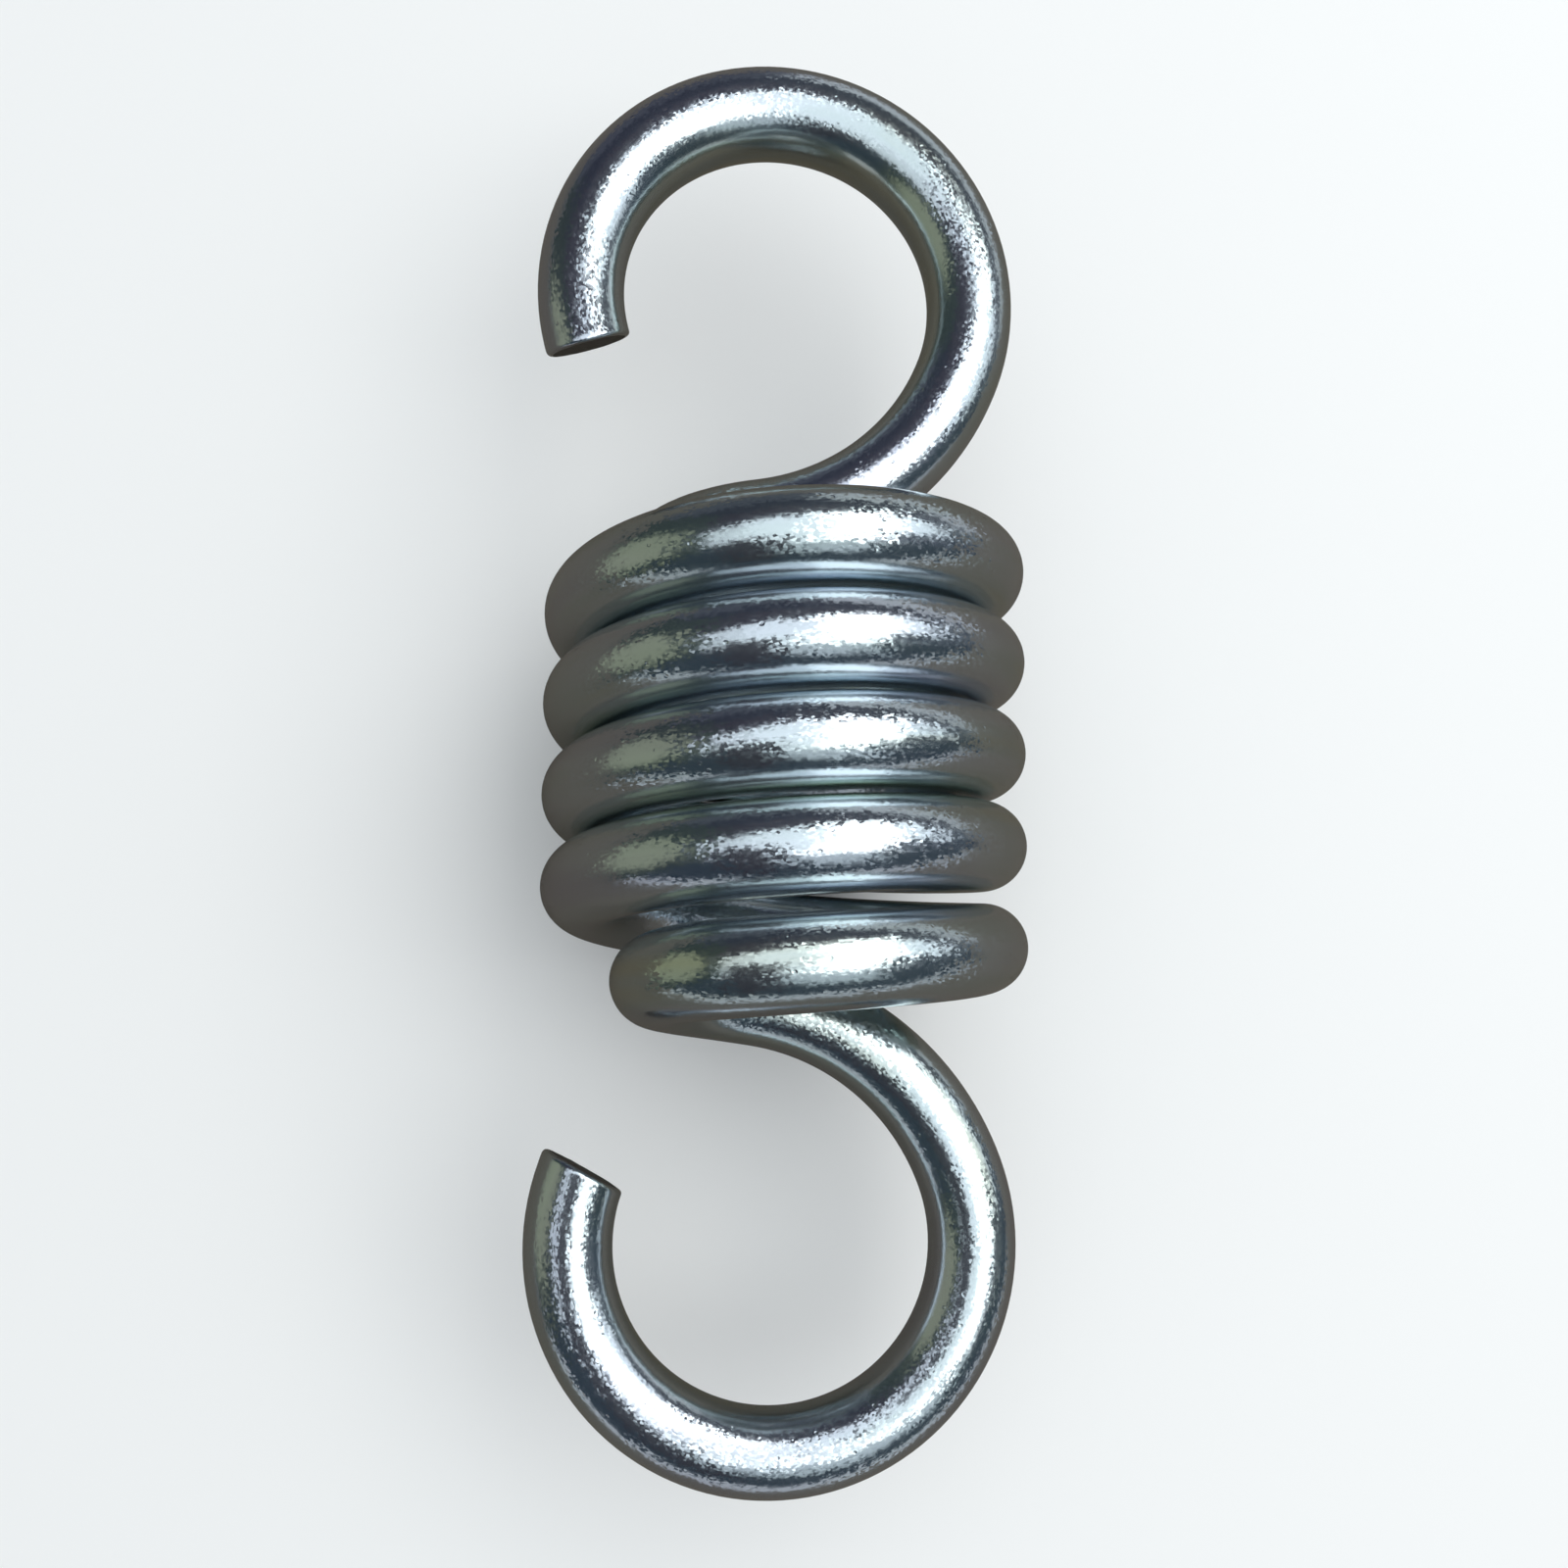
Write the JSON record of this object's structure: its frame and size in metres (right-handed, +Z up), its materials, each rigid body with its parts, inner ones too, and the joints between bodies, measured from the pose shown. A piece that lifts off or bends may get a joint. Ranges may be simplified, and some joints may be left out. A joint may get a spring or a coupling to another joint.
{
  "type": "extension spring",
  "caption": "Heavy close-coiled steel extension spring with an open round hook at each end, used to hang a swing chair or hammock so that it gives a little under load.",
  "frame": {"origin": "on the surface that the spring lies on, under the middle of its bounding box", "axes": "+Y along the coil towards the upper hook, +X across it with both hook mouths towards -X, +Z up from the surface"},
  "size_m": [0.048, 0.1412, 0.0468],
  "materials": {
    "zinc_plated_wire": "bright zinc plating"
  },
  "bodies": {
    "root": {"spring": "zinc_plated_wire"}
  },
  "joints": []
}
